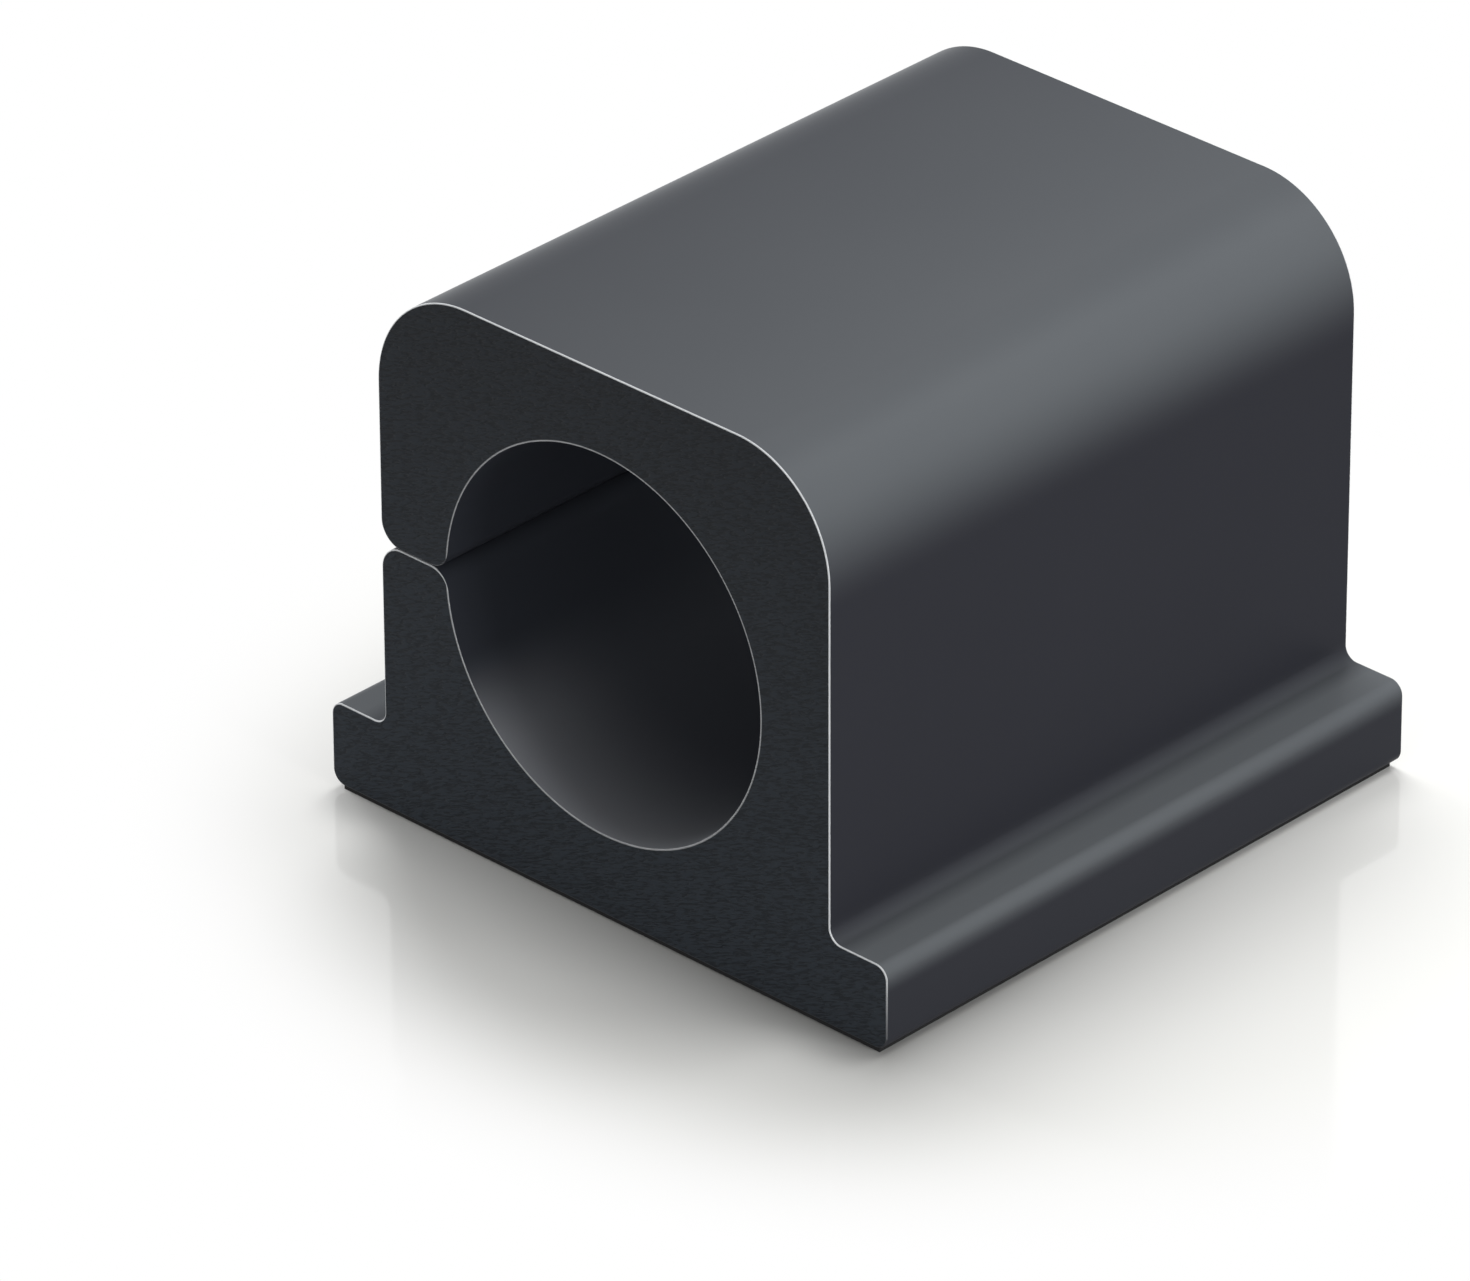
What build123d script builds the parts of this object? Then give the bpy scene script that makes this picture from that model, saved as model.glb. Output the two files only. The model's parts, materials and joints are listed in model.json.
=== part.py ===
# Adhesive cable clip, in millimetres.
# The cable lies along Y in a round bore and is pushed in from -X, through a
# slit whose two soft jaws close behind it. The clip stands on an adhesive pad.
# Origin: on the surface that the pad is stuck to, under the middle of the clip.
import os

from build123d import *

os.makedirs("parts", exist_ok=True)

# Block
clip_length = 25.0       # along the cable
base_width = 25.0        # over both flanges
body_width = 20.0
body_height = 20.0       # from the underside of the base to the flat top
flange_thickness = 3.1
top_radius = 4.0         # the two long top corners
small_radius = 0.5       # flange corners, and the fillets where body meets flange
edge_break = 0.07        # bevel round both end faces

# Bore and slit
bore_diameter = 14.0
bore_height = 10.0       # bore axis above the underside of the base
slit_gap = 0.1           # the jaws all but touch
mouth_radius = 0.9       # outer lips, which lead the cable in
lip_radius = 0.8         # inner lips, from the jaws into the bore

# Adhesive pad
pad_thickness = 0.2
pad_side_inset = 0.4     # back from each long edge of the base
pad_end_inset = 0.1      # back from each end face

# Heights above the surface that the clip stands on
underside_z = pad_thickness
bore_z = underside_z + bore_height

# One closed profile across the cable, drawn looking along +Y
with BuildPart() as clip_body:
    with BuildSketch(Plane.XZ) as profile:
        # Upright body on its flanged base
        with Locations((0, underside_z)):
            Rectangle(base_width, flange_thickness, align=(Align.CENTER, Align.MIN))
            Rectangle(body_width, body_height, align=(Align.CENTER, Align.MIN))
        levels = profile.vertices().group_by(Axis.Y)
        fillet(levels[-1], top_radius)
        levels = profile.vertices().group_by(Axis.Y)
        fillet(levels[0] + levels[1], small_radius)

        # Bore, opened to the left by the slit
        with Locations((0, bore_z)):
            Circle(bore_diameter / 2, mode=Mode.SUBTRACT)
            Rectangle(base_width, slit_gap, align=(Align.MAX, Align.CENTER), mode=Mode.SUBTRACT)

        # Rounded lips: at the mouth, and tangent to the bore's wall
        jaw_corners = profile.vertices().filter_by_position(
            Axis.Y, bore_z - slit_gap, bore_z + slit_gap
        )
        fillet(jaw_corners.group_by(Axis.X)[0], mouth_radius)
        jaw_corners = profile.vertices().filter_by_position(
            Axis.Y, bore_z - slit_gap, bore_z + slit_gap
        )
        fillet(jaw_corners.group_by(Axis.X)[-1], lip_radius)
    extrude(amount=clip_length / 2, both=True)
    chamfer(clip_body.faces().filter_by(Axis.Y).edges(), edge_break)

clip_body.part.label = "clip_body"
export_step(clip_body.part, "parts/clip_body.step")

# Flat strip of double-sided adhesive, cut a little smaller than the base
with BuildPart() as adhesive_pad:
    with BuildSketch() as footprint:
        Rectangle(base_width - 2 * pad_side_inset, clip_length - 2 * pad_end_inset)
    extrude(amount=pad_thickness)

adhesive_pad.part.label = "adhesive_pad"
export_step(adhesive_pad.part, "parts/adhesive_pad.step")
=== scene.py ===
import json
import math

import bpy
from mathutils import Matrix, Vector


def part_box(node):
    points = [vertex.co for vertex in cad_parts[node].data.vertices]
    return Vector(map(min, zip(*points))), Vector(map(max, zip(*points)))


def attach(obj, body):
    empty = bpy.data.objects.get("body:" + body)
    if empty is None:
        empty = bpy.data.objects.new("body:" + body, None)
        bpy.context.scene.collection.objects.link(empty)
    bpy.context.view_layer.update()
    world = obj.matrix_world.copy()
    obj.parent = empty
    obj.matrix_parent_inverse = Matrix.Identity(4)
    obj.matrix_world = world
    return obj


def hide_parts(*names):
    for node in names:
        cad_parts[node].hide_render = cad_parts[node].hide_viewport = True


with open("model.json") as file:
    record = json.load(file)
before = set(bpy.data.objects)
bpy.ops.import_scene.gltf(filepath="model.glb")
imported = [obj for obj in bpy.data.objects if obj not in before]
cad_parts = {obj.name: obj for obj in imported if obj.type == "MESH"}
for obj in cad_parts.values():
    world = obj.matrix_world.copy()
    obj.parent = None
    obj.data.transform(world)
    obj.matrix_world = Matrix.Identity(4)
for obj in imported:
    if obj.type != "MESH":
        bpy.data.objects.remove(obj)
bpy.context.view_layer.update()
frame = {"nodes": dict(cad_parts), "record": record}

# %% [markdown]
# Adhesive cable clip
#
# The object is a clip that holds one cable to a desk or a wall. It is moulded in
# one piece from black silicone rubber: a block with a round bore, a slit in its
# left wall whose two soft jaws let the cable in, and a low flange along each side
# of its base. A thin strip of foam tape under the base sticks it down.
#
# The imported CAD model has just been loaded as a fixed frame. It says how large each
# piece is and where it stands, and this lesson gives the pieces their look. Blender
# works in metres, so sizes in millimetres are multiplied by MM.

MM = 0.001

body_low, body_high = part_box("clip_body")
bore_mount = next(m for m in frame["record"]["mounts"] if m["name"] == "cable_bore")

clip_length = body_high.y - body_low.y
base_width = body_high.x - body_low.x
underside = body_low.z
top = body_high.z
bore_axis = bore_mount["pos_m"][2]
bore_radius = bore_mount["dims"]["r_mm"] * MM

print("clip", [round(side / MM, 3) for side in (base_width, clip_length, top - underside)], "mm")
print("bore radius", round(bore_radius / MM, 3), "mm, axis at", round(bore_axis / MM, 3), "mm")

# %% [markdown]
# The rest of the profile is not in the frame, so its sizes are written here, as
# they are on the real clip. The edge round each end face is broken by a bevel that
# is only as wide as a hair. It is small, but it carries the painted highlight that
# draws the pale line.

# %% Sizes of the profile
body_width = 20.0 * MM
flange_thickness = 3.1 * MM
top_radius = 4.0 * MM
small_radius = 0.5 * MM
slit_gap = 0.02 * MM
mouth_radius = 0.9 * MM
lip_radius = 0.8 * MM
outer_edge_break = 0.042 * MM
bore_edge_break = 0.012 * MM
chord_error = 0.001 * MM

# %% [markdown]
# The profile is a closed line of straight stretches and round ones. Blender's curves
# can draw round corners, but the clip needs true arcs that run into the bore without
# a kink, so each arc is worked out from its centre and radius. Straight stretches
# need no points of their own, because they join the end of one arc to the start of
# the next. An arc gets as many points as keep it within a micrometre of the circle.


# %% An arc of the profile
def arc(centre_x, centre_z, radius, start, end):
    """Points (x, z) on an arc, from the angle start to the angle end in degrees."""
    step = 2 * math.degrees(math.acos(1 - chord_error / radius))
    count = math.ceil(abs(end - start) / step)
    angles = [math.radians(start + (end - start) * i / count) for i in range(count + 1)]
    return [(centre_x + radius * math.cos(a), centre_z + radius * math.sin(a)) for a in angles]


print("a quarter of a top corner has", len(arc(0, 0, top_radius, 0, 90)), "points")

# %% [markdown]
# The line is walked anticlockwise, as seen from the front: along the base, up the
# right side, over the top, into the slit, once round the bore the other way, out of
# the slit and down the left side. The inner lips are the difficult ones. Each must
# touch the flat jaw and the round wall at once, so its centre lies one lip radius
# from the jaw and one bore radius plus one lip radius from the bore's axis.

# %% The closed profile of the clip
half_base = base_width / 2
half_body = body_width / 2
flange_top = underside + flange_thickness

lip_rise = slit_gap / 2 + lip_radius
lip_reach = math.sqrt((bore_radius + lip_radius) ** 2 - lip_rise**2)
lip_angle = math.degrees(math.asin(lip_rise / (bore_radius + lip_radius)))
mouth_rise = slit_gap / 2 + mouth_radius

profile = [
    # Base and right flange
    *arc(-half_base + small_radius, underside + small_radius, small_radius, 180, 270),
    *arc(half_base - small_radius, underside + small_radius, small_radius, 270, 360),
    *arc(half_base - small_radius, flange_top - small_radius, small_radius, 0, 90),
    *arc(half_body + small_radius, flange_top + small_radius, small_radius, 270, 180),
    # Large top corners
    *arc(half_body - top_radius, top - top_radius, top_radius, 0, 90),
    *arc(-half_body + top_radius, top - top_radius, top_radius, 90, 180),
    # Upper jaw, bore and lower jaw
    *arc(-half_body + mouth_radius, bore_axis + mouth_rise, mouth_radius, 180, 270),
    *arc(-lip_reach, bore_axis + lip_rise, lip_radius, -90, -lip_angle),
    *arc(0, bore_axis, bore_radius, 180 - lip_angle, lip_angle - 180),
    *arc(-lip_reach, bore_axis - lip_rise, lip_radius, lip_angle, 90),
    *arc(-half_body + mouth_radius, bore_axis - mouth_rise, mouth_radius, 90, 180),
    # Left flange
    *arc(-half_body - small_radius, flange_top + small_radius, small_radius, 0, -90),
    *arc(-half_base + small_radius, flange_top - small_radius, small_radius, 90, 180),
]

# Where two arcs meet without a straight stretch, the point they share is kept once
shared = chord_error / 10
profile = [
    point
    for before, point in zip([profile[-1]] + profile[:-1], profile)
    if math.dist(before, point) > shared
]
print("profile of", len(profile), "points")

# %% [markdown]
# Shaders work in linear light, while colours are picked on a screen, as hex values in
# sRGB. One function turns the second into the first.


# %% From a hex colour to linear light
def linear(hex_colour):
    """A colour such as #30343A as four linear values, the last for opacity."""
    values = [int(hex_colour[i : i + 2], 16) / 255 for i in (1, 3, 5)]
    return [v / 12.92 if v <= 0.04045 else ((v + 0.055) / 1.055) ** 2.4 for v in values] + [1.0]


print("mid grey #808080 is", round(linear("#808080")[0], 3), "in linear light")

# %% [markdown]
# Materials and Geometry Nodes are both trees of nodes. This one helper adds any node,
# changes its settings, and fills its inputs: a socket is linked, and anything else
# becomes the input's own value.


# %% A helper that adds a node
def add_node(tree, kind, settings=None, inputs=None):
    """Adds a node to the tree. settings and inputs are dictionaries by name."""
    node = tree.nodes.new(kind)
    for name, value in (settings or {}).items():
        setattr(node, name, value)
    for name, value in (inputs or {}).items():
        if isinstance(value, bpy.types.NodeSocket):
            tree.links.new(value, node.inputs[name])
        else:
            node.inputs[name].default_value = value
    return node


def new_material(name):
    """An empty material, as its node tree and the input of its surface."""
    material = bpy.data.materials.new(name)
    material.use_nodes = True
    material.node_tree.nodes.clear()
    output = add_node(material.node_tree, "ShaderNodeOutputMaterial")
    return material, material.node_tree, output.inputs["Surface"]


# %% [markdown]
# Moulded silicone rubber, the skin of the clip
#
# The sides are as they left a steel mould that was blasted with fine grit. That gives
# silicone a satin skin: a dark grey body colour under a faint sheen. Silicone bends
# light by 1.43, but its specular level is kept close to zero, because the grit leaves
# little of the surface flat, and so it hardly brightens towards its outline. The pits
# are about 0.05 mm, too fine for the render, so they are drawn at 0.2 mm and very
# shallow. Pigment is never perfectly mixed, so the grey drifts a little over some
# millimetres, and the sheen with it.
#
# The rounded top corners and the outer corners of the flanges are painted a paler grey,
# as a painted highlight where they turn to the lamps, the flat top less so, and least on
# the side of the slit. Beside the body's wall the flange keeps the dark grey, as painted
# shade. The upright walls keep almost the silicone's own dark grey. All this goes by
# height and by the distance from the middle, so Object coordinates are enough.

# %% How silicone bends light
silicone_ior = 1.43
print("silicone bends light by", silicone_ior)


# %% Satin skin from the mould
def silicone_moulded_satin():
    material, tree, surface = new_material("silicone_moulded_satin")
    pits = 0.2 * MM
    pit_depth = 0.004 * MM
    drift = 9.0 * MM
    # How much painted highlight each place gets, from 0 to 1
    painted_corner_highlight = 0.72
    painted_flange_highlight = 0.83
    painted_wall_highlight = 0.05
    # How much of that painted highlight the flat top loses, at the slit's side and at the other
    top_dimmed_at_slit = 0.69
    top_dimmed_across = 0.13
    place = add_node(tree, "ShaderNodeTexCoord").outputs["Object"]
    parts = add_node(tree, "ShaderNodeSeparateXYZ", inputs={"Vector": place}).outputs

    # From the upright wall up into the large top corner
    up_the_corner = add_node(
        tree,
        "ShaderNodeMapRange",
        {"interpolation_type": "SMOOTHSTEP"},
        {
            "Value": parts["Z"],
            "From Min": top - 1.25 * top_radius,
            "From Max": top - 0.35 * top_radius,
            "To Max": painted_corner_highlight,
        },
    )
    # The flat top, which gets less painted highlight, and least on the side of the slit
    flat_top = add_node(
        tree,
        "ShaderNodeMapRange",
        {"interpolation_type": "SMOOTHSTEP"},
        {"Value": parts["Z"], "From Min": top - 0.2 * top_radius, "From Max": top},
    )
    less = add_node(
        tree,
        "ShaderNodeMapRange",
        inputs={
            "Value": parts["X"],
            "From Min": -half_body,
            "From Max": half_body,
            "To Min": top_dimmed_at_slit,
            "To Max": top_dimmed_across,
        },
    )
    top_dimmed = add_node(
        tree,
        "ShaderNodeMath",
        {"operation": "MULTIPLY"},
        {0: flat_top.outputs["Result"], 1: less.outputs["Result"]},
    )
    kept = add_node(
        tree, "ShaderNodeMath", {"operation": "SUBTRACT"}, {0: 1.0, 1: top_dimmed.outputs[0]}
    )
    top_share = add_node(
        tree,
        "ShaderNodeMath",
        {"operation": "MULTIPLY"},
        {0: up_the_corner.outputs["Result"], 1: kept.outputs[0]},
    )

    # On the flange: above its outer wall, below the body's wall, and away from the body, so that it
    # keeps a painted shade beside the body's wall
    above_wall = add_node(
        tree,
        "ShaderNodeMapRange",
        {"interpolation_type": "SMOOTHSTEP"},
        {
            "Value": parts["Z"],
            "From Min": flange_top - 1.0 * MM,
            "From Max": flange_top,
            "To Min": painted_wall_highlight,
        },
    )
    below_body = add_node(
        tree,
        "ShaderNodeMapRange",
        {"interpolation_type": "SMOOTHSTEP"},
        {"Value": parts["Z"], "From Min": flange_top + 0.8 * MM, "From Max": flange_top},
    )
    outwards = add_node(tree, "ShaderNodeMath", {"operation": "ABSOLUTE"}, {0: parts["X"]})
    off_the_body = add_node(
        tree,
        "ShaderNodeMapRange",
        inputs={
            "Value": outwards.outputs[0],
            "From Min": half_body - 0.2 * MM,
            "From Max": half_body + 1.2 * MM,
            "To Max": painted_flange_highlight,
        },
    )
    on_flange = add_node(
        tree,
        "ShaderNodeMath",
        {"operation": "MULTIPLY"},
        {0: above_wall.outputs["Result"], 1: below_body.outputs["Result"]},
    )
    flange_share = add_node(
        tree,
        "ShaderNodeMath",
        {"operation": "MULTIPLY"},
        {0: on_flange.outputs[0], 1: off_the_body.outputs["Result"]},
    )
    # Where the painted highlight falls, and how strongly
    painted_light_share = add_node(
        tree,
        "ShaderNodeMath",
        {"operation": "MAXIMUM"},
        {0: top_share.outputs[0], 1: flange_share.outputs[0]},
    )

    cloud = add_node(
        tree,
        "ShaderNodeTexNoise",
        inputs={"Vector": place, "Scale": 1 / drift, "Detail": 2.0, "Roughness": 0.5},
    )
    as_moulded = add_node(
        tree,
        "ShaderNodeMix",
        {"data_type": "RGBA"},
        {"Factor": cloud.outputs["Fac"], 6: linear("#303137"), 7: linear("#33343A")},
    )
    # The paler grey of the painted highlight
    painted_lit_grey = add_node(
        tree,
        "ShaderNodeMix",
        {"data_type": "RGBA"},
        {"Factor": cloud.outputs["Fac"], 6: linear("#686C70"), 7: linear("#6E7275")},
    )
    colour = add_node(
        tree,
        "ShaderNodeMix",
        {"data_type": "RGBA"},
        {"Factor": painted_light_share.outputs[0], 6: as_moulded.outputs[2], 7: painted_lit_grey.outputs[2]},
    )
    sheen = add_node(
        tree,
        "ShaderNodeMapRange",
        inputs={"Value": cloud.outputs["Fac"], "To Min": 0.33, "To Max": 0.39},
    )
    grit = add_node(
        tree,
        "ShaderNodeTexNoise",
        inputs={"Vector": place, "Scale": 1 / pits, "Detail": 2.0},
    )
    relief = add_node(
        tree,
        "ShaderNodeBump",
        inputs={"Strength": 0.3, "Distance": pit_depth, "Height": grit.outputs["Fac"]},
    )
    shader = add_node(
        tree,
        "ShaderNodeBsdfPrincipled",
        inputs={
            "Base Color": colour.outputs[2],
            "Roughness": sheen.outputs["Result"],
            "IOR": silicone_ior,
            "Specular IOR Level": 0.03,
            "Normal": relief.outputs["Normal"],
        },
    )
    tree.links.new(shader.outputs["BSDF"], surface)
    return material


moulded_satin = silicone_moulded_satin()
print("made", moulded_satin.name)

# %% [markdown]
# The wall of the bore
#
# The bore is formed by a steel core pin, which is turned and polished, so its wall has
# no pits to speak of. Light that falls in at the bore's mouths lands on the lower half
# of the wall, and this pool of light is painted into its colour. So the painted
# paleness grows with the depth below the bore's axis, and fades over 7 mm from each
# mouth.


# %% Smooth wall from the core pin
def silicone_core_pin_smooth():
    material, tree, surface = new_material("silicone_core_pin_smooth")
    drift = 6.0 * MM
    painted_light_depth = 7.0 * MM
    # How much of the painted light is left deep inside, when it is 1 at the mouths
    painted_light_inside = 0.10
    place = add_node(tree, "ShaderNodeTexCoord").outputs["Object"]
    parts = add_node(tree, "ShaderNodeSeparateXYZ", inputs={"Vector": place}).outputs
    below_axis = add_node(
        tree,
        "ShaderNodeMapRange",
        {"interpolation_type": "SMOOTHSTEP"},
        {
            "Value": parts["Z"],
            "From Min": bore_axis - 0.4 * bore_radius,
            "From Max": bore_axis - 0.8 * bore_radius,
        },
    )
    along = add_node(tree, "ShaderNodeMath", {"operation": "ABSOLUTE"}, {0: parts["Y"]})
    near_mouth = add_node(
        tree,
        "ShaderNodeMapRange",
        inputs={
            "Value": along.outputs[0],
            "From Min": clip_length / 2 - painted_light_depth,
            "From Max": clip_length / 2,
        },
    )
    # Squared, so that it falls off quickly at first
    at_mouth = add_node(
        tree, "ShaderNodeMath", {"operation": "POWER"}, {0: near_mouth.outputs["Result"], 1: 2.0}
    )
    share = add_node(
        tree,
        "ShaderNodeMapRange",
        inputs={"Value": at_mouth.outputs[0], "To Min": painted_light_inside},
    )
    painted_light_share = add_node(
        tree,
        "ShaderNodeMath",
        {"operation": "MULTIPLY"},
        {0: below_axis.outputs["Result"], 1: share.outputs["Result"]},
    )
    cloud = add_node(
        tree,
        "ShaderNodeTexNoise",
        inputs={"Vector": place, "Scale": 1 / drift, "Detail": 2.0},
    )
    as_moulded = add_node(
        tree,
        "ShaderNodeMix",
        {"data_type": "RGBA"},
        {"Factor": cloud.outputs["Fac"], 6: linear("#3F424A"), 7: linear("#42454D")},
    )
    # The paler grey of the painted pool of light
    painted_lit_grey = add_node(
        tree,
        "ShaderNodeMix",
        {"data_type": "RGBA"},
        {"Factor": cloud.outputs["Fac"], 6: linear("#96989E"), 7: linear("#9DA0A5")},
    )
    colour = add_node(
        tree,
        "ShaderNodeMix",
        {"data_type": "RGBA"},
        {"Factor": painted_light_share.outputs[0], 6: as_moulded.outputs[2], 7: painted_lit_grey.outputs[2]},
    )
    shader = add_node(
        tree,
        "ShaderNodeBsdfPrincipled",
        inputs={
            "Base Color": colour.outputs[2],
            "Roughness": 0.35,
            "IOR": silicone_ior,
            "Specular IOR Level": 0.1,
        },
    )
    tree.links.new(shader.outputs["BSDF"], surface)
    return material


core_pin_smooth = silicone_core_pin_smooth()
print("made", core_pin_smooth.name)

# %% [markdown]
# Grained silicone, the two end faces
#
# The end plates of the mould are etched with a fine leather grain: short creases, about
# 0.4 mm long and less than 0.1 mm wide, that all run across the clip and some 20
# degrees uphill. The grain kills the gloss, and little light gets out of a crease, so
# the ends look darker than the sides. A noise is stretched along the creases, by a
# Mapping node that turns it by their slope and scales it by their real length and
# width. Distortion bends them a little. The lower the noise is, the deeper the crease,
# in the height and in a painted shade that darkens its colour. The grey is painted
# paler low down on the face and darker high up, as painted light and shade that even
# out how the lamps fall on it. Round the bore a ring of the face, a few hundredths of a
# millimetre wide, is painted pale as a highlight along the edge, which draws the thin
# line round the hole.


# %% Leather grain on the end faces
def silicone_leather_grain():
    material, tree, surface = new_material("silicone_leather_grain")
    crease_length = 0.40 * MM
    crease_width = 0.07 * MM
    crease_depth = 0.03 * MM
    slope = math.radians(22)
    # Between these two levels of the noise, a crease goes from its rim to its floor
    crease_rim = 0.6
    crease_floor = 0.32
    # The ring round the bore is full up to the first width and gone at the second
    ring_full = 0.04 * MM
    ring_gone = 0.07 * MM
    place = add_node(tree, "ShaderNodeTexCoord").outputs["Object"]
    parts = add_node(tree, "ShaderNodeSeparateXYZ", inputs={"Vector": place}).outputs
    along_creases = add_node(
        tree,
        "ShaderNodeMapping",
        {"vector_type": "TEXTURE"},
        {
            "Vector": place,
            "Rotation": (0, -slope, 0),
            "Scale": (crease_length, crease_length, crease_width),
        },
    )
    folds = add_node(
        tree,
        "ShaderNodeTexNoise",
        inputs={
            "Vector": along_creases.outputs["Vector"],
            "Scale": 1.0,
            "Detail": 1.0,
            "Roughness": 0.5,
            "Distortion": 0.6,
        },
    )
    crease = add_node(
        tree,
        "ShaderNodeMapRange",
        {"interpolation_type": "SMOOTHSTEP"},
        {"Value": folds.outputs["Fac"], "From Min": crease_rim, "From Max": crease_floor},
    )
    hill = add_node(
        tree, "ShaderNodeMath", {"operation": "SUBTRACT"}, {0: 1.0, 1: crease.outputs["Result"]}
    )
    relief = add_node(
        tree,
        "ShaderNodeBump",
        inputs={"Strength": 1.0, "Distance": crease_depth, "Height": hill.outputs[0]},
    )
    # Painted light low on the face and painted shade high up
    height = add_node(
        tree,
        "ShaderNodeMapRange",
        inputs={"Value": parts["Z"], "From Min": underside, "From Max": top},
    )
    grey = add_node(
        tree,
        "ShaderNodeMix",
        {"data_type": "RGBA"},
        {"Factor": height.outputs["Result"], 6: linear("#31373E"), 7: linear("#202429")},
    )
    # Painted shade in the creases darkens their colour
    grained = add_node(
        tree,
        "ShaderNodeMix",
        {"data_type": "RGBA", "blend_type": "MULTIPLY"},
        {"Factor": crease.outputs["Result"], 6: grey.outputs[2], 7: linear("#B4B4B4")},
    )
    # The painted highlight round the bore, by the distance from the bore's axis
    above = add_node(
        tree, "ShaderNodeMath", {"operation": "SUBTRACT"}, {0: parts["Z"], 1: bore_axis}
    )
    across = add_node(
        tree, "ShaderNodeCombineXYZ", inputs={"X": parts["X"], "Y": above.outputs[0]}
    )
    from_axis = add_node(
        tree, "ShaderNodeVectorMath", {"operation": "LENGTH"}, {0: across.outputs[0]}
    )
    at_bore = add_node(
        tree,
        "ShaderNodeMapRange",
        inputs={
            "Value": from_axis.outputs["Value"],
            "From Min": bore_radius + ring_gone,
            "From Max": bore_radius + ring_full,
        },
    )
    colour = add_node(
        tree,
        "ShaderNodeMix",
        {"data_type": "RGBA"},
        {"Factor": at_bore.outputs["Result"], 6: grained.outputs[2], 7: linear("#C0C2C4")},
    )
    shader = add_node(
        tree,
        "ShaderNodeBsdfPrincipled",
        inputs={
            "Base Color": colour.outputs[2],
            "Roughness": 0.75,
            "IOR": silicone_ior,
            "Specular IOR Level": 0.3,
            "Normal": relief.outputs["Normal"],
        },
    )
    tree.links.new(shader.outputs["BSDF"], surface)
    return material


leather_grain = silicone_leather_grain()
print("made", leather_grain.name)

# %% [markdown]
# Pale silicone, the painted edge highlight
#
# The corner between an end face and the sides catches the light, and this highlight is
# painted into its colour, so the broken edge is drawn as a line that is much lighter
# than the faces beside it. Edges that look down, such as those of the underside and of
# the upper jaw, get no painted highlight, and the low outer walls of the flanges get
# less of it. So the paleness goes by the tilt of the surface and, on the flanges, by
# height.


# %% Pale painted edge highlight
def silicone_painted_edge_highlight():
    material, tree, surface = new_material("silicone_painted_edge_highlight")
    patch = 1.5 * MM
    # How much of the painted highlight is left at the foot of a flange's outer wall, from 0 to 1
    highlight_at_foot = 0.35
    coordinates = add_node(tree, "ShaderNodeTexCoord").outputs
    place = coordinates["Object"]
    height = add_node(tree, "ShaderNodeSeparateXYZ", inputs={"Vector": place}).outputs["Z"]
    tilt = add_node(
        tree, "ShaderNodeSeparateXYZ", inputs={"Vector": coordinates["Normal"]}
    ).outputs["Z"]
    # The tilt is -1 where the edge looks straight down, and 0 where it stands upright
    not_down = add_node(
        tree,
        "ShaderNodeMapRange",
        inputs={"Value": tilt, "From Min": -0.12, "From Max": -0.02},
    )
    highlight_by_height = add_node(
        tree,
        "ShaderNodeMapRange",
        inputs={
            "Value": height,
            "From Min": underside + small_radius,
            "From Max": flange_top,
            "To Min": highlight_at_foot,
        },
    )
    # Squared, so that it falls off quickly at first
    highlight_height_share = add_node(
        tree, "ShaderNodeMath", {"operation": "POWER"}, {0: highlight_by_height.outputs["Result"], 1: 2.0}
    )
    painted_light_share = add_node(
        tree,
        "ShaderNodeMath",
        {"operation": "MULTIPLY"},
        {0: not_down.outputs["Result"], 1: highlight_height_share.outputs[0]},
    )
    # The pale grey of the painted highlight, patchy over 1.5 mm
    highlight_patches = add_node(
        tree,
        "ShaderNodeTexNoise",
        inputs={"Vector": place, "Scale": 1 / patch, "Detail": 2.0},
    )
    pale = add_node(
        tree,
        "ShaderNodeMix",
        {"data_type": "RGBA"},
        {"Factor": highlight_patches.outputs["Fac"], 6: linear("#D0D3D6"), 7: linear("#E3E5E7")},
    )
    colour = add_node(
        tree,
        "ShaderNodeMix",
        {"data_type": "RGBA"},
        {"Factor": painted_light_share.outputs[0], 6: linear("#2A2B31"), 7: pale.outputs[2]},
    )
    shader = add_node(
        tree,
        "ShaderNodeBsdfPrincipled",
        inputs={"Base Color": colour.outputs[2], "Roughness": 0.5, "IOR": silicone_ior},
    )
    tree.links.new(shader.outputs["BSDF"], surface)
    return material


painted_edge_highlight = silicone_painted_edge_highlight()
print("made", painted_edge_highlight.name)

# %% [markdown]
# The body as a rule: fill the profile and extrude it
#
# The clip has the same profile all along the cable, so its body follows a rule, and
# Geometry Nodes can say it in a few steps. The profile lies flat, Fill Curve makes it
# one face, and Extrude Mesh pulls that face out by the clip's length. Extruding moves
# the face, so the open end is closed with the same face, turned over.


# %% The profile as a flat curve
def closed_curve(name, points):
    """A curve object of one closed line through the points, in its own XY plane."""
    curve = bpy.data.curves.new(name, "CURVE")
    line = curve.splines.new("POLY")
    line.points.add(len(points) - 1)
    for point, (x, z) in zip(line.points, points):
        point.co = (x, z, 0, 1)
    line.use_cyclic_u = True
    shape = bpy.data.objects.new(name, curve)
    bpy.context.scene.collection.objects.link(shape)
    return shape


clip_profile = closed_curve("clip_profile", profile)
print("the profile's curve has", len(clip_profile.data.splines[0].points), "points")


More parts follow.
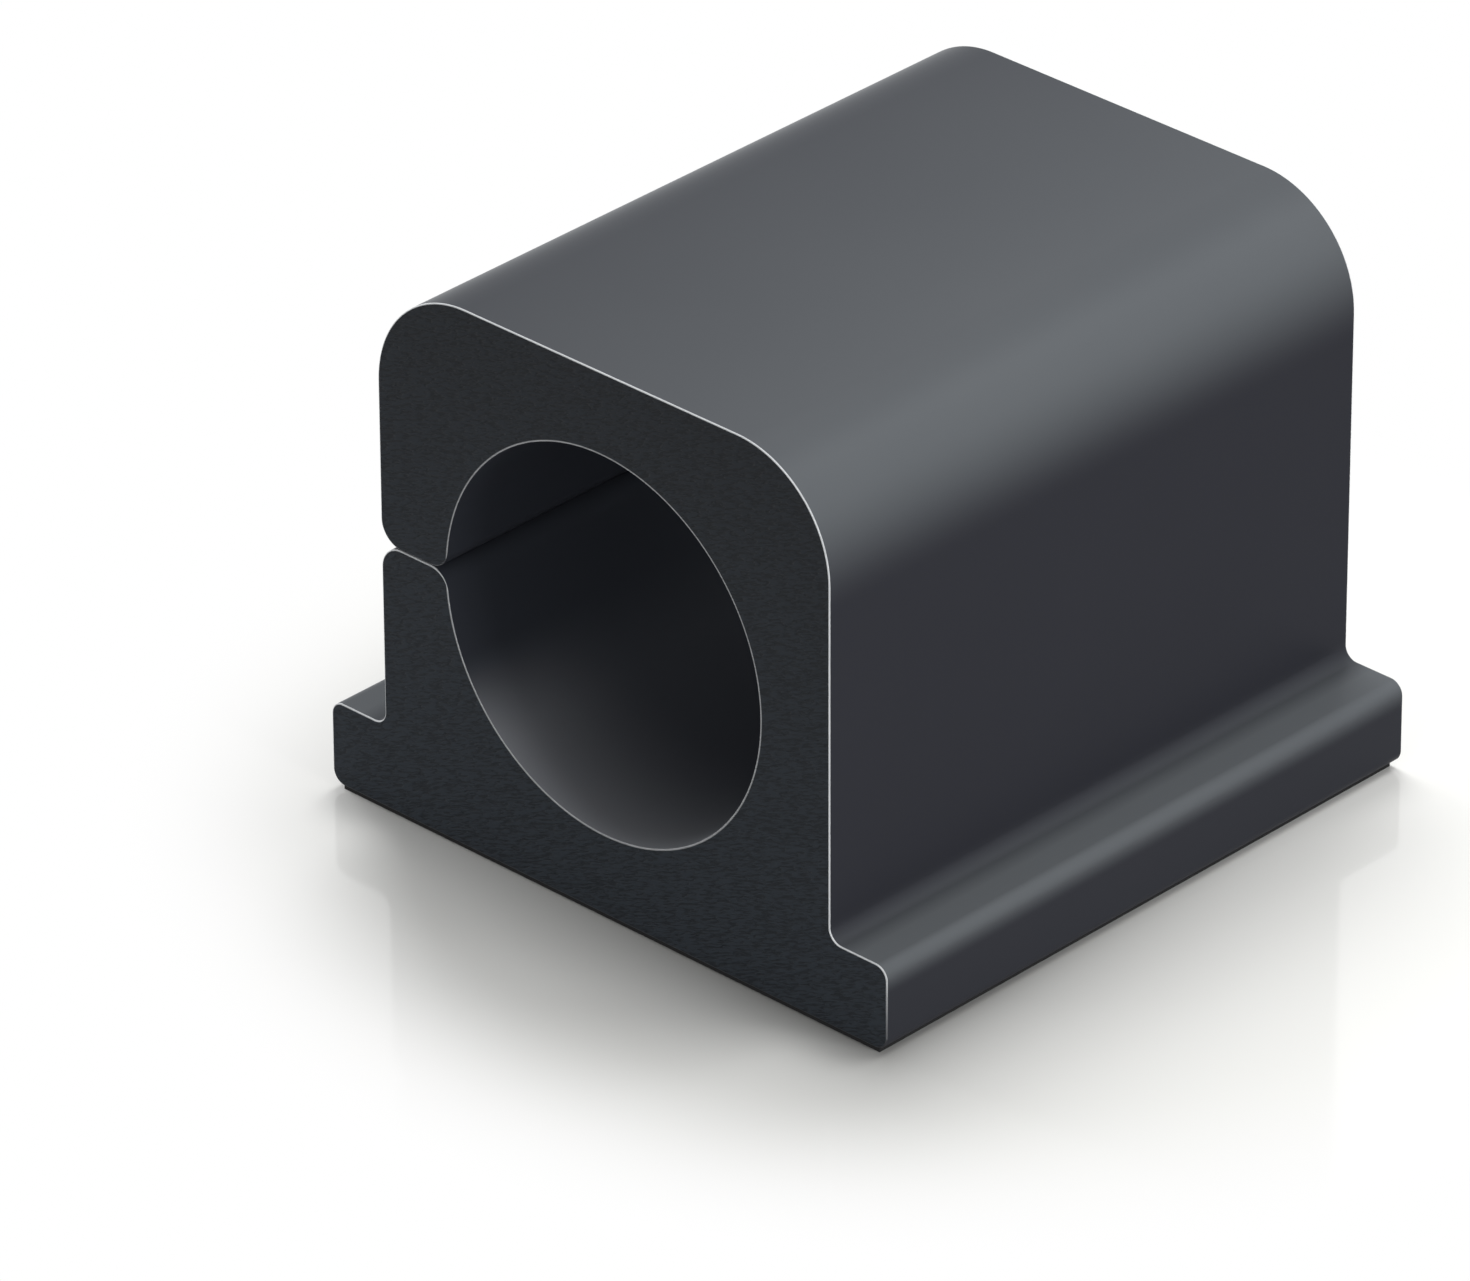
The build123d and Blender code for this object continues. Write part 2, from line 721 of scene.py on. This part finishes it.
# %% The tree that extrudes the profile
def extrusion_tree():
    tree = bpy.data.node_groups.new("extruded_clip", "GeometryNodeTree")
    tree.interface.new_socket("Geometry", in_out="INPUT", socket_type="NodeSocketGeometry")
    for name in ("Length", "Bore radius", "Bore axis", "Lip radius", "Small radius", "Bore share"):
        tree.interface.new_socket(name, in_out="INPUT", socket_type="NodeSocketFloat")
    tree.interface.new_socket("Geometry", in_out="OUTPUT", socket_type="NodeSocketGeometry")
    given = add_node(tree, "NodeGroupInput").outputs
    same_point = 0.0001 * MM
    sharp = math.radians(45)

    # One face, pulled out along its normal, and the same face turned over
    face = add_node(
        tree, "GeometryNodeFillCurve", {"mode": "NGONS"}, {"Curve": given["Geometry"]}
    )
    pulled = add_node(
        tree,
        "GeometryNodeExtrudeMesh",
        inputs={"Mesh": face.outputs[0], "Offset Scale": given["Length"], "Individual": False},
    )
    turned_over = add_node(tree, "GeometryNodeFlipFaces", inputs={"Mesh": face.outputs[0]})
    both = add_node(tree, "GeometryNodeJoinGeometry", inputs={0: pulled.outputs["Mesh"]})
    tree.links.new(turned_over.outputs[0], both.inputs[0])
    closed = add_node(
        tree,
        "GeometryNodeMergeByDistance",
        inputs={"Geometry": both.outputs[0], "Distance": same_point},
    )

    # Stand it up: the flat Y becomes Z, and half of the length goes to each side
    half = add_node(
        tree, "ShaderNodeMath", {"operation": "MULTIPLY"}, {0: given["Length"], 1: 0.5}
    )
    forward = add_node(tree, "ShaderNodeCombineXYZ", inputs={"Y": half.outputs[0]})
    upright = add_node(
        tree,
        "GeometryNodeTransform",
        inputs={
            "Geometry": closed.outputs[0],
            "Translation": forward.outputs[0],
            "Rotation": (math.radians(90), 0, 0),
        },
    )

    # Smooth sides, and sharp edges where the surface turns by more than 45 degrees
    smooth = add_node(
        tree, "GeometryNodeSetShadeSmooth", inputs={"Geometry": upright.outputs[0]}
    )
    turn = add_node(tree, "GeometryNodeInputMeshEdgeAngle").outputs["Unsigned Angle"]
    corner = add_node(
        tree, "FunctionNodeCompare", {"operation": "GREATER_THAN"}, {0: turn, 1: sharp}
    )
    shaded = add_node(
        tree,
        "GeometryNodeSetShadeSmooth",
        {"domain": "EDGE"},
        {
            "Geometry": smooth.outputs[0],
            "Selection": corner.outputs[0],
            "Shade Smooth": False,
        },
    )

    # Distance from the bore's axis, seen along the cable
    position = add_node(tree, "GeometryNodeInputPosition").outputs[0]
    parts = add_node(tree, "ShaderNodeSeparateXYZ", inputs={0: position}).outputs
    above = add_node(
        tree, "ShaderNodeMath", {"operation": "SUBTRACT"}, {0: parts["Z"], 1: given["Bore axis"]}
    )
    across = add_node(tree, "ShaderNodeCombineXYZ", inputs={"X": parts["X"], "Y": above.outputs[0]})
    from_axis = add_node(
        tree, "ShaderNodeVectorMath", {"operation": "LENGTH"}, {0: across.outputs[0]}
    ).outputs["Value"]

    # How wide the edge is broken: full outside and less in the bore
    past_bore = add_node(
        tree, "ShaderNodeMath", {"operation": "SUBTRACT"}, {0: from_axis, 1: given["Bore radius"]}
    )
    outwards = add_node(
        tree,
        "ShaderNodeMapRange",
        inputs={
            "Value": past_bore.outputs[0],
            "From Min": 0.0,
            "From Max": given["Small radius"],
            "To Min": given["Bore share"],
            "To Max": 1.0,
        },
    )
    weighted = add_node(
        tree,
        "GeometryNodeStoreNamedAttribute",
        {"data_type": "FLOAT", "domain": "EDGE"},
        {
            "Geometry": shaded.outputs[0],
            "Selection": corner.outputs[0],
            "Name": "bevel_weight_edge",
            "Value": outwards.outputs["Result"],
        },
    )

    # Materials by place: skin everywhere, then the bore with its lips, then the ends
    normal = add_node(tree, "GeometryNodeInputNormal").outputs[0]
    in_bore = add_node(
        tree,
        "FunctionNodeCompare",
        {"operation": "LESS_THAN"},
        {0: past_bore.outputs[0], 1: given["Lip radius"]},
    )
    facing = add_node(tree, "ShaderNodeSeparateXYZ", inputs={0: normal})
    along = add_node(
        tree, "ShaderNodeMath", {"operation": "ABSOLUTE"}, {0: facing.outputs["Y"]}
    )
    is_end = add_node(
        tree, "FunctionNodeCompare", {"operation": "GREATER_THAN"}, {0: along.outputs[0], 1: 0.5}
    )
    joined = add_node(
        tree, "GeometryNodeRealizeInstances", inputs={"Geometry": weighted.outputs[0]}
    )
    skin = add_node(
        tree,
        "GeometryNodeSetMaterial",
        inputs={"Geometry": joined.outputs[0], "Material": moulded_satin},
    )
    wall = add_node(
        tree,
        "GeometryNodeSetMaterial",
        inputs={
            "Geometry": skin.outputs[0],
            "Selection": in_bore.outputs[0],
            "Material": core_pin_smooth,
        },
    )
    ends = add_node(
        tree,
        "GeometryNodeSetMaterial",
        inputs={
            "Geometry": wall.outputs[0],
            "Selection": is_end.outputs[0],
            "Material": leather_grain,
        },
    )
    add_node(tree, "NodeGroupOutput", inputs={"Geometry": ends.outputs[0]})
    return tree


clip_tree = extrusion_tree()
print("the tree has", len(clip_tree.nodes), "nodes")

# %% [markdown]
# From the tree to a plain mesh
#
# A modifier's inputs go by the identifier of their socket. new_from_object then turns
# the evaluated result into a plain mesh, and the curve has done its work.


# %% Run the tree and keep its mesh
def run_tree(shape, tree, sizes, name):
    """The mesh that the tree makes of the shape, as a new object at the origin."""
    modifier = shape.modifiers.new(tree.name, "NODES")
    modifier.node_group = tree
    for socket in tree.interface.items_tree:
        if socket.in_out == "INPUT" and socket.name in sizes:
            modifier[socket.identifier] = sizes[socket.name]
    evaluated = shape.evaluated_get(bpy.context.evaluated_depsgraph_get())
    mesh = bpy.data.meshes.new_from_object(evaluated)
    mesh.name = name
    # The tree leaves an empty slot before its own materials
    for i in reversed(range(len(mesh.materials))):
        if mesh.materials[i] is None:
            mesh.materials.pop(index=i)
    bpy.data.objects.remove(shape)
    piece = bpy.data.objects.new(name, mesh)
    bpy.context.scene.collection.objects.link(piece)
    return piece


moulded_clip = run_tree(
    clip_profile,
    clip_tree,
    {
        "Length": clip_length,
        "Bore radius": bore_radius,
        "Bore axis": bore_axis,
        "Lip radius": lip_radius,
        "Small radius": small_radius,
        "Bore share": bore_edge_break / outer_edge_break,
    },
    "moulded_clip",
)
print("the body has", len(moulded_clip.data.polygons), "faces before its edges are broken")

# %% [markdown]
# Breaking the edges
#
# A Bevel modifier follows the weights that the tree stored on the edges. It gives the
# new faces the pale material of the painted edge highlight, and hardened normals keep
# the flat faces flat, so only the narrow bevel turns the light.

# %% Bevel the edges of both end faces
moulded_clip.data.materials.append(painted_edge_highlight)
broken_edge = moulded_clip.modifiers.new("broken_edge", "BEVEL")
broken_edge.width = outer_edge_break
broken_edge.segments = 2
broken_edge.limit_method = "WEIGHT"
broken_edge.use_clamp_overlap = False
broken_edge.harden_normals = True
broken_edge.material = moulded_clip.data.materials.find(painted_edge_highlight.name)

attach(moulded_clip, "root")
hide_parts("clip_body")
print("materials", [m.name for m in moulded_clip.data.materials])

# %% [markdown]
# Foam tape, the adhesive pad
#
# The strip under the base is black acrylic foam tape. Its cut sides show closed cells
# of about 0.1 mm, and it has no gloss at all, so it reads as a dark line under the
# flange. The CAD piece has the right shape and stays, with this material on it.


# %% Black acrylic foam tape
def acrylic_foam_tape():
    material, tree, surface = new_material("acrylic_foam_tape")
    cell = 0.12 * MM
    place = add_node(tree, "ShaderNodeTexCoord").outputs["Object"]
    cells = add_node(
        tree, "ShaderNodeTexVoronoi", inputs={"Vector": place, "Scale": 1 / cell}
    )
    colour = add_node(
        tree,
        "ShaderNodeMix",
        {"data_type": "RGBA"},
        {"Factor": cells.outputs["Distance"], 6: linear("#0E0E0F"), 7: linear("#1B1B1D")},
    )
    relief = add_node(
        tree,
        "ShaderNodeBump",
        inputs={"Strength": 0.6, "Distance": 0.02 * MM, "Height": cells.outputs["Distance"]},
    )
    shader = add_node(
        tree,
        "ShaderNodeBsdfPrincipled",
        inputs={
            "Base Color": colour.outputs[2],
            "Roughness": 0.9,
            "IOR": 1.47,
            "Normal": relief.outputs["Normal"],
        },
    )
    tree.links.new(shader.outputs["BSDF"], surface)
    return material


foam_tape = acrylic_foam_tape()
pad = frame["nodes"]["adhesive_pad"]
pad.material_slots[0].material = foam_tape
pad_low, pad_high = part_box("adhesive_pad")
print("made", foam_tape.name, "for tape", round((pad_high.z - pad_low.z) / MM, 3), "mm thick")

# %% [markdown]
# The floor
#
# The clip stands on a plain white surface with a slight polish, which keeps its soft
# shadow and a faint reflection. Its light on the clip is that of a grey board. What
# the camera sees, straight or in a gloss, is whiter, and fades to pure white some
# 15 mm away from the clip, so that no edge or falling-off of the lamps shows. A real
# shadow is darkest where the base touches the floor. In front and on the right these
# lamps leave it too pale, so the white is darkened there, most of all at the base.


# %% What is seen, and what only gives light
def seen_rays(tree):
    """A socket that is 1 for what the camera sees, also by a gloss or through glass, else 0."""
    rays = add_node(tree, "ShaderNodeLightPath").outputs
    straight = add_node(
        tree,
        "ShaderNodeMath",
        {"operation": "MAXIMUM"},
        {0: rays["Is Camera Ray"], 1: rays["Is Glossy Ray"]},
    )
    seen = add_node(
        tree,
        "ShaderNodeMath",
        {"operation": "MAXIMUM"},
        {0: straight.outputs[0], 1: rays["Is Transmission Ray"]},
    )
    return seen.outputs[0]


# %% White floor
def white_floor_board():
    material, tree, surface = new_material("white_floor_board")
    # The darkening by the base: it halves over this distance, it grows with x minus y
    # until that is the reach, and there it takes this share of the white
    halving_distance = 1.4 * MM
    corner_reach = 20 * MM
    corner_share = 0.49
    # The plain white: where it is centred, and how far from there it starts and is full
    white_middle = (3.3 * MM, 1.3 * MM, 0)
    white_starts = 18.8 * MM
    white_full = 28.3 * MM
    seen = seen_rays(tree)
    place = add_node(tree, "ShaderNodeTexCoord").outputs["Object"]
    # How far a point of the floor lies outside the rectangle of the clip's base
    mirrored = add_node(tree, "ShaderNodeVectorMath", {"operation": "ABSOLUTE"}, {0: place})
    past_base = add_node(
        tree,
        "ShaderNodeVectorMath",
        {"operation": "SUBTRACT"},
        {0: mirrored.outputs[0], 1: (half_base, clip_length / 2, 0)},
    )
    outside = add_node(
        tree, "ShaderNodeVectorMath", {"operation": "MAXIMUM"}, {0: past_base.outputs[0]}
    )
    distance = add_node(
        tree, "ShaderNodeVectorMath", {"operation": "LENGTH"}, {0: outside.outputs[0]}
    ).outputs["Value"]
    # The darkening is strongest at the base and halves with each step away from it
    steps = add_node(
        tree, "ShaderNodeMath", {"operation": "DIVIDE"}, {0: distance, 1: halving_distance}
    )
    halved = add_node(tree, "ShaderNodeMath", {"operation": "POWER"}, {0: 0.5, 1: steps.outputs[0]})
    # It grows from the middle towards the corner where the front and the right side meet
    to_corner = add_node(
        tree, "ShaderNodeVectorMath", {"operation": "DOT_PRODUCT"}, {0: place, 1: (1, -1, 0)}
    )
    most = add_node(
        tree,
        "ShaderNodeMapRange",
        inputs={
            "Value": to_corner.outputs["Value"],
            "From Max": corner_reach,
            "To Max": corner_share,
        },
    )
    near_base = add_node(
        tree,
        "ShaderNodeMath",
        {"operation": "MULTIPLY"},
        {0: halved.outputs[0], 1: most.outputs["Result"]},
    )
    seen_white = add_node(
        tree,
        "ShaderNodeMix",
        {"data_type": "RGBA"},
        {"Factor": near_base.outputs[0], 6: linear("#FBFBF8"), 7: linear("#000000")},
    )
    colour = add_node(
        tree,
        "ShaderNodeMix",
        {"data_type": "RGBA"},
        {"Factor": seen, 6: linear("#909090"), 7: seen_white.outputs[2]},
    )
    board = add_node(
        tree,
        "ShaderNodeBsdfPrincipled",
        inputs={"Base Color": colour.outputs[2], "Roughness": 0.08, "IOR": 1.5},
    )
    # The plain white goes by the distance from a point a little right of the clip's
    # middle, because more of the shadow lies on that side
    radius = add_node(
        tree,
        "ShaderNodeVectorMath",
        {"operation": "DISTANCE"},
        {0: place, 1: white_middle},
    ).outputs["Value"]
    away = add_node(
        tree,
        "ShaderNodeMapRange",
        {"interpolation_type": "SMOOTHSTEP"},
        {"Value": radius, "From Min": white_starts, "From Max": white_full},
    )
    whiter = add_node(
        tree,
        "ShaderNodeMath",
        {"operation": "MULTIPLY"},
        {0: away.outputs["Result"], 1: seen},
    )
    white = add_node(
        tree,
        "ShaderNodeEmission",
        inputs={"Color": linear("#FFFFFF"), "Strength": 1.0},
    )
    both = add_node(
        tree,
        "ShaderNodeMixShader",
        inputs={0: whiter.outputs[0], 1: board.outputs["BSDF"], 2: white.outputs[0]},
    )
    tree.links.new(both.outputs[0], surface)
    return material


floor_half = 1.5
floor_mesh = bpy.data.meshes.new("floor")
corners = [(-floor_half, -floor_half), (floor_half, -floor_half)]
corners += [(floor_half, floor_half), (-floor_half, floor_half)]
floor_mesh.from_pydata([(x, y, 0.0) for x, y in corners], [], [(0, 1, 2, 3)])
floor_mesh.materials.append(white_floor_board())
floor = bpy.data.objects.new("floor", floor_mesh)
bpy.context.scene.collection.objects.link(floor)
print("floor of", 2 * floor_half, "metres")

# %% [markdown]
# Light
#
# Studio light for a small dark object is mostly large and soft. An even white world
# fills the shadows, at a quarter of the white that the camera sees behind the clip.
# The key softbox hangs high behind the clip's left, so the clip's shadow falls towards
# the camera. A weaker one behind the right lights the top corner, and low ones on three
# sides keep the walls and the bore's mouth readable.

# %% The world and the softboxes
world_fill = 0.25
world_seen = 1.0
world = bpy.data.worlds.new("studio")
world.use_nodes = True
world_tree = world.node_tree
world_tree.nodes.clear()
seen = seen_rays(world_tree)
level = add_node(
    world_tree,
    "ShaderNodeMapRange",
    inputs={"Value": seen, "To Min": world_fill, "To Max": world_seen},
)
sky = add_node(
    world_tree,
    "ShaderNodeBackground",
    inputs={"Color": linear("#FFFFFF"), "Strength": level.outputs["Result"]},
)
add_node(world_tree, "ShaderNodeOutputWorld", inputs={"Surface": sky.outputs[0]})
bpy.context.scene.world = world

softbox_distance = 130 * MM
softbox_side = 60 * MM


def softbox(name, azimuth, elevation, radiance):
    """A square lamp that faces the clip. Azimuth 0 is behind it, and 90 to its right."""
    lamp = bpy.data.lights.new(name, "AREA")
    lamp.shape = "SQUARE"
    lamp.size = softbox_side
    lamp.energy = radiance * math.pi * softbox_side**2
    turn, rise = math.radians(azimuth), math.radians(elevation)
    direction = Vector(
        (math.sin(turn) * math.cos(rise), math.cos(turn) * math.cos(rise), math.sin(rise))
    )
    target = Vector((0, 0, (underside + top) / 2))
    piece = bpy.data.objects.new(name, lamp)
    piece.matrix_world = Matrix.Translation(
        target + direction * softbox_distance
    ) @ direction.to_track_quat("Z", "Y").to_matrix().to_4x4()
    piece.visible_camera = False
    bpy.context.scene.collection.objects.link(piece)
    return piece


# Each lamp's azimuth and elevation in degrees, and its radiance
softbox("key_softbox", 315, 65, 7.1)
softbox("back_softbox", 45, 65, 5.0)
softbox("right_softbox", 90, 15, 6.7)
softbox("left_softbox", 270, 15, 5.7)
softbox("front_softbox", 160, 15, 2.4)
print("lamps", len(bpy.data.lights))

# %% [markdown]
# The camera
#
# The view was fitted to the measured edges of the photograph: a long lens, almost 44
# degrees round to the right of the front and 30 degrees up.

# %% The camera
# The photograph's width and its focal length are in its own pixels
photo_width = 1470
photo_focal_length = 11794.2
sensor_width = 36.0
camera_azimuth = math.radians(43.752)
camera_elevation = math.radians(29.701)
camera_roll = math.radians(-0.260)
camera_distance = 385.605 * MM
aim = Vector((-1.718, -4.540, 6.433)) * MM

camera_data = bpy.data.cameras.new("camera")
camera_data.sensor_width = sensor_width
camera_data.lens = sensor_width * photo_focal_length / photo_width
camera_data.clip_start = 0.01
camera_data.clip_end = 20
camera = bpy.data.objects.new("camera", camera_data)
orbit = (
    Matrix.Rotation(camera_azimuth, 4, "Z")
    @ Matrix.Rotation(math.radians(90) - camera_elevation, 4, "X")
    @ Matrix.Rotation(camera_roll, 4, "Z")
)
camera.matrix_world = (
    Matrix.Translation(aim) @ orbit @ Matrix.Translation((0, 0, camera_distance))
)
bpy.context.scene.collection.objects.link(camera)
bpy.context.scene.camera = camera
bpy.context.scene.view_settings.view_transform = "Standard"
print("lens", round(camera_data.lens, 1), "mm")
